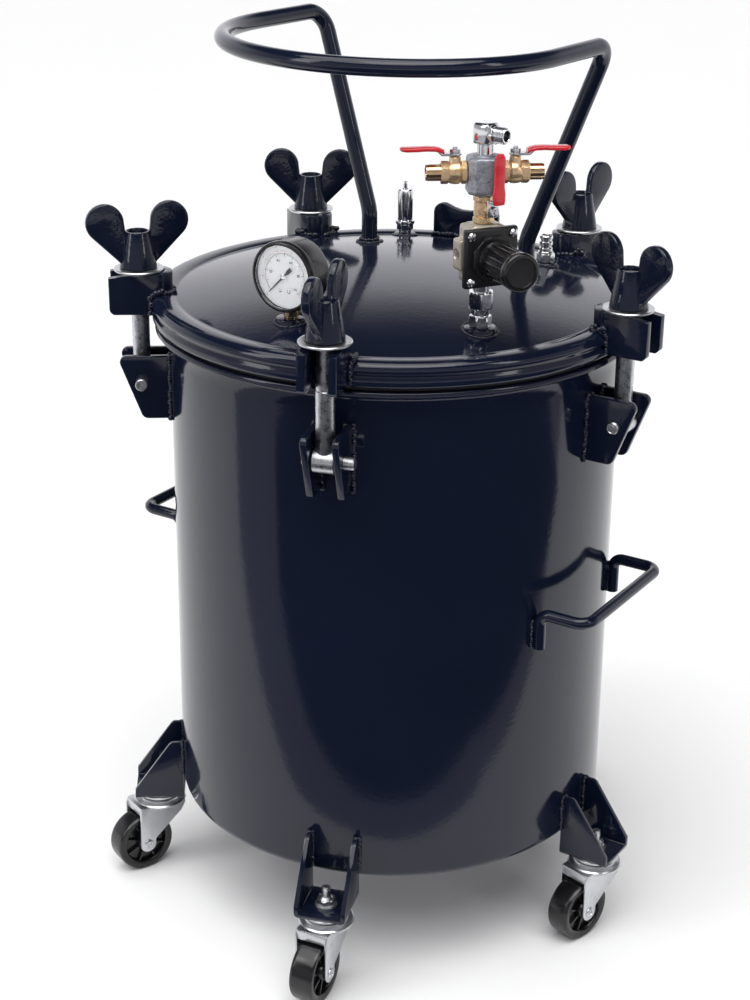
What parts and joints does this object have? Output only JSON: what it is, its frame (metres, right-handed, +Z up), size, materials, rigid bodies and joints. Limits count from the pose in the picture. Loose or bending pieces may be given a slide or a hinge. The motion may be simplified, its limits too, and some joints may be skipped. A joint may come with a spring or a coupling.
{
  "type": "resin pressure pot",
  "caption": "Steel pressure pot on swivel casters: swing-bolt clamped domed lid with hoop handle, gauge, regulator, ball valves and relief valve.",
  "frame": {"origin": "in the middle of the pot's outline seen from above, at the level of the floor the wheels stand on; the vessel's vertical axis stands 13.8 mm to +X and 3.55 mm to +Y of it", "axes": "+Z up; the side with the single front caster, the gauge and the regulator faces -Y; +X is to the right as seen from the front"},
  "size_m": [0.445, 0.46, 0.7017],
  "materials": {
    "navy_paint": "gloss powder coat",
    "zinc_plate": "bright zinc plate",
    "wheel_plastic": "moulded, satin",
    "black_plastic": "moulded, satin",
    "gauge_glass": "clear",
    "seal_rubber": "matte",
    "regulator_grey": "satin",
    "chrome_plate": "polished",
    "valve_brass": "machined",
    "red_vinyl": "dipped vinyl"
  },
  "bodies": {
    "vessel": {"tank_shell": "navy_paint", "lid_gasket": "seal_rubber", "lid": "navy_paint", "bow_handle": "navy_paint", "side_handle_left": "navy_paint", "side_handle_right": "navy_paint", "clevis_1": "navy_paint", "clevis_2": "navy_paint", "clevis_3": "navy_paint", "clevis_4": "navy_paint", "clevis_5": "navy_paint", "caster_bracket_1": "navy_paint", "caster_bracket_2": "navy_paint", "caster_bracket_3": "navy_paint", "caster_bracket_4": "navy_paint", "caster_bracket_5": "navy_paint", "gauge_case": "black_plastic", "gauge_lens": "gauge_glass", "union_fitting": "chrome_plate", "regulator_body": "regulator_grey", "valve_low": "valve_brass", "manifold": "zinc_plate", "valve_left": "valve_brass", "valve_right": "valve_brass", "elbow": "chrome_plate", "relief_valve": "chrome_plate", "outlet_fitting": "chrome_plate"},
    "bolt_1": {"swing_bolt_1": "zinc_plate"},
    "washer_1": {"washer_1": "zinc_plate"},
    "nut_1": {"wing_nut_1": "navy_paint"},
    "bolt_2": {"swing_bolt_2": "zinc_plate"},
    "washer_2": {"washer_2": "zinc_plate"},
    "nut_2": {"wing_nut_2": "navy_paint"},
    "bolt_3": {"swing_bolt_3": "zinc_plate"},
    "washer_3": {"washer_3": "zinc_plate"},
    "nut_3": {"wing_nut_3": "navy_paint"},
    "bolt_4": {"swing_bolt_4": "zinc_plate"},
    "washer_4": {"washer_4": "zinc_plate"},
    "nut_4": {"wing_nut_4": "navy_paint"},
    "bolt_5": {"swing_bolt_5": "zinc_plate"},
    "washer_5": {"washer_5": "zinc_plate"},
    "nut_5": {"wing_nut_5": "navy_paint"},
    "fork_1": {"caster_fork_1": "zinc_plate"},
    "wheel_1": {"caster_wheel_1": "wheel_plastic"},
    "fork_2": {"caster_fork_2": "zinc_plate"},
    "wheel_2": {"caster_wheel_2": "wheel_plastic"},
    "fork_3": {"caster_fork_3": "zinc_plate"},
    "wheel_3": {"caster_wheel_3": "wheel_plastic"},
    "fork_4": {"caster_fork_4": "zinc_plate"},
    "wheel_4": {"caster_wheel_4": "wheel_plastic"},
    "fork_5": {"caster_fork_5": "zinc_plate"},
    "wheel_5": {"caster_wheel_5": "wheel_plastic"},
    "gauge_pointer": {"gauge_pointer": "black_plastic"},
    "regulator_knob": {"regulator_knob": "black_plastic"},
    "lever_low": {"lever_low": "red_vinyl"},
    "lever_left": {"lever_left": "red_vinyl"},
    "lever_right": {"lever_right": "red_vinyl"},
    "relief_pin": {"relief_pin": "chrome_plate"}
  },
  "joints": [
    {"name": "bolt_1_swing", "type": "hinge", "parent": "vessel", "child": "bolt_1", "pos_m": [-0.18252, -0.01018, 0.4355], "axis": [0.0698, -0.9976, 0], "range_deg": [0, 120]},
    {"name": "nut_1_travel", "type": "slide", "parent": "bolt_1", "child": "washer_1", "axis": [0, 0, 1], "range_m": [0, 0.0181]},
    {"name": "nut_1_spin", "type": "hinge", "parent": "washer_1", "child": "nut_1", "pos_m": [-0.18252, -0.01018, 0.5238], "axis": [0, 0, 1], "range_deg": [0, 3240]},
    {"name": "bolt_2_swing", "type": "hinge", "parent": "vessel", "child": "bolt_2", "pos_m": [-0.03381, -0.1874, 0.4355], "axis": [0.9703, -0.2419, 0], "range_deg": [0, 120]},
    {"name": "nut_2_travel", "type": "slide", "parent": "bolt_2", "child": "washer_2", "axis": [0, 0, 1], "range_m": [0, 0.0181]},
    {"name": "nut_2_spin", "type": "hinge", "parent": "washer_2", "child": "nut_2", "pos_m": [-0.03381, -0.1874, 0.5238], "axis": [0, 0, 1], "range_deg": [0, 3240]},
    {"name": "bolt_3_swing", "type": "hinge", "parent": "vessel", "child": "bolt_3", "pos_m": [0.1807, -0.10074, 0.4355], "axis": [0.5299, 0.848, 0], "range_deg": [0, 120]},
    {"name": "nut_3_travel", "type": "slide", "parent": "bolt_3", "child": "washer_3", "axis": [0, 0, 1], "range_m": [0, 0.0181]},
    {"name": "nut_3_spin", "type": "hinge", "parent": "washer_3", "child": "nut_3", "pos_m": [0.1807, -0.10074, 0.5238], "axis": [0, 0, 1], "range_deg": [0, 3240]},
    {"name": "bolt_4_swing", "type": "hinge", "parent": "vessel", "child": "bolt_4", "pos_m": [0.16456, 0.13005, 0.4355], "axis": [-0.6428, 0.766, 0], "range_deg": [0, 120]},
    {"name": "nut_4_travel", "type": "slide", "parent": "bolt_4", "child": "washer_4", "axis": [0, 0, 1], "range_m": [0, 0.0181]},
    {"name": "nut_4_spin", "type": "hinge", "parent": "washer_4", "child": "nut_4", "pos_m": [0.16456, 0.13005, 0.5238], "axis": [0, 0, 1], "range_deg": [0, 3240]},
    {"name": "bolt_5_swing", "type": "hinge", "parent": "vessel", "child": "bolt_5", "pos_m": [-0.05992, 0.18602, 0.4355], "axis": [-0.9272, -0.3746, 0], "range_deg": [0, 120]},
    {"name": "nut_5_travel", "type": "slide", "parent": "bolt_5", "child": "washer_5", "axis": [0, 0, 1], "range_m": [0, 0.0181]},
    {"name": "nut_5_spin", "type": "hinge", "parent": "washer_5", "child": "nut_5", "pos_m": [-0.05992, 0.18602, 0.5238], "axis": [0, 0, 1], "range_deg": [0, 3240]},
    {"name": "caster_1_swivel", "type": "hinge", "parent": "vessel", "child": "fork_1", "pos_m": [-0.18172, -0.01012, 0.06], "axis": [0, 0, 1], "continuous": true},
    {"name": "wheel_1_roll", "type": "hinge", "parent": "fork_1", "child": "wheel_1", "pos_m": [-0.19729, -0.02102, 0.025], "axis": [0.5736, -0.8192, 0], "continuous": true},
    {"name": "caster_2_swivel", "type": "hinge", "parent": "vessel", "child": "fork_2", "pos_m": [-0.03362, -0.18663, 0.06], "axis": [0, 0, 1], "continuous": true},
    {"name": "wheel_2_roll", "type": "hinge", "parent": "fork_2", "child": "wheel_2", "pos_m": [-0.04165, -0.20385, 0.025], "axis": [0.9063, -0.4226, 0], "continuous": true},
    {"name": "caster_3_swivel", "type": "hinge", "parent": "vessel", "child": "fork_3", "pos_m": [0.18002, -0.10031, 0.06], "axis": [0, 0, 1], "continuous": true},
    {"name": "wheel_3_roll", "type": "hinge", "parent": "fork_3", "child": "wheel_3", "pos_m": [0.16635, -0.11351, 0.025], "axis": [0.6947, -0.7193, 0], "continuous": true},
    {"name": "caster_4_swivel", "type": "hinge", "parent": "vessel", "child": "fork_4", "pos_m": [0.16395, 0.12954, 0.06], "axis": [0, 0, 1], "continuous": true},
    {"name": "wheel_4_roll", "type": "hinge", "parent": "fork_4", "child": "wheel_4", "pos_m": [0.17892, 0.14123, 0.025], "axis": [-0.6157, 0.788, 0], "continuous": true},
    {"name": "caster_5_swivel", "type": "hinge", "parent": "vessel", "child": "fork_5", "pos_m": [-0.05962, 0.18528, 0.06], "axis": [0, 0, 1], "continuous": true},
    {"name": "wheel_5_roll", "type": "hinge", "parent": "fork_5", "child": "wheel_5", "pos_m": [-0.05698, 0.20409, 0.025], "axis": [-0.9903, 0.1392, 0], "continuous": true},
    {"name": "gauge_needle", "type": "hinge", "parent": "vessel", "child": "gauge_pointer", "pos_m": [-0.06592, -0.112, 0.546], "axis": [0.5299, 0.848, 0], "range_deg": [0, 270], "stiffness_Nm_per_rad": 0.0005},
    {"name": "regulator_knob_turn", "type": "hinge", "parent": "vessel", "child": "regulator_knob", "pos_m": [0.08225, -0.13758, 0.56715], "axis": [0.4226, -0.9063, 0], "range_deg": [-720, 720]},
    {"name": "lever_low_turn", "type": "hinge", "parent": "vessel", "child": "lever_low", "pos_m": [0.07979, -0.12868, 0.599], "axis": [0.5446, -0.8387, 0], "range_deg": [0, 90]},
    {"name": "lever_left_turn", "type": "hinge", "parent": "vessel", "child": "lever_left", "pos_m": [0.053, -0.12237, 0.6365], "axis": [0, 0, 1], "range_deg": [0, 90]},
    {"name": "lever_right_turn", "type": "hinge", "parent": "vessel", "child": "lever_right", "pos_m": [0.0946, -0.11653, 0.6365], "axis": [0, 0, -1], "range_deg": [0, 90]},
    {"name": "relief_pull", "type": "slide", "parent": "vessel", "child": "relief_pin", "axis": [0, 0, 1], "range_m": [0, 0.003], "stiffness_N_per_m": 200, "springref_m": -0.002}
  ],
  "couplings": [
    {"joint": "nut_1_travel", "follows": "nut_1_spin", "m_per_rad": 0.00031831},
    {"joint": "nut_2_travel", "follows": "nut_2_spin", "m_per_rad": 0.00031831},
    {"joint": "nut_3_travel", "follows": "nut_3_spin", "m_per_rad": 0.00031831},
    {"joint": "nut_4_travel", "follows": "nut_4_spin", "m_per_rad": 0.00031831},
    {"joint": "nut_5_travel", "follows": "nut_5_spin", "m_per_rad": 0.00031831}
  ]
}
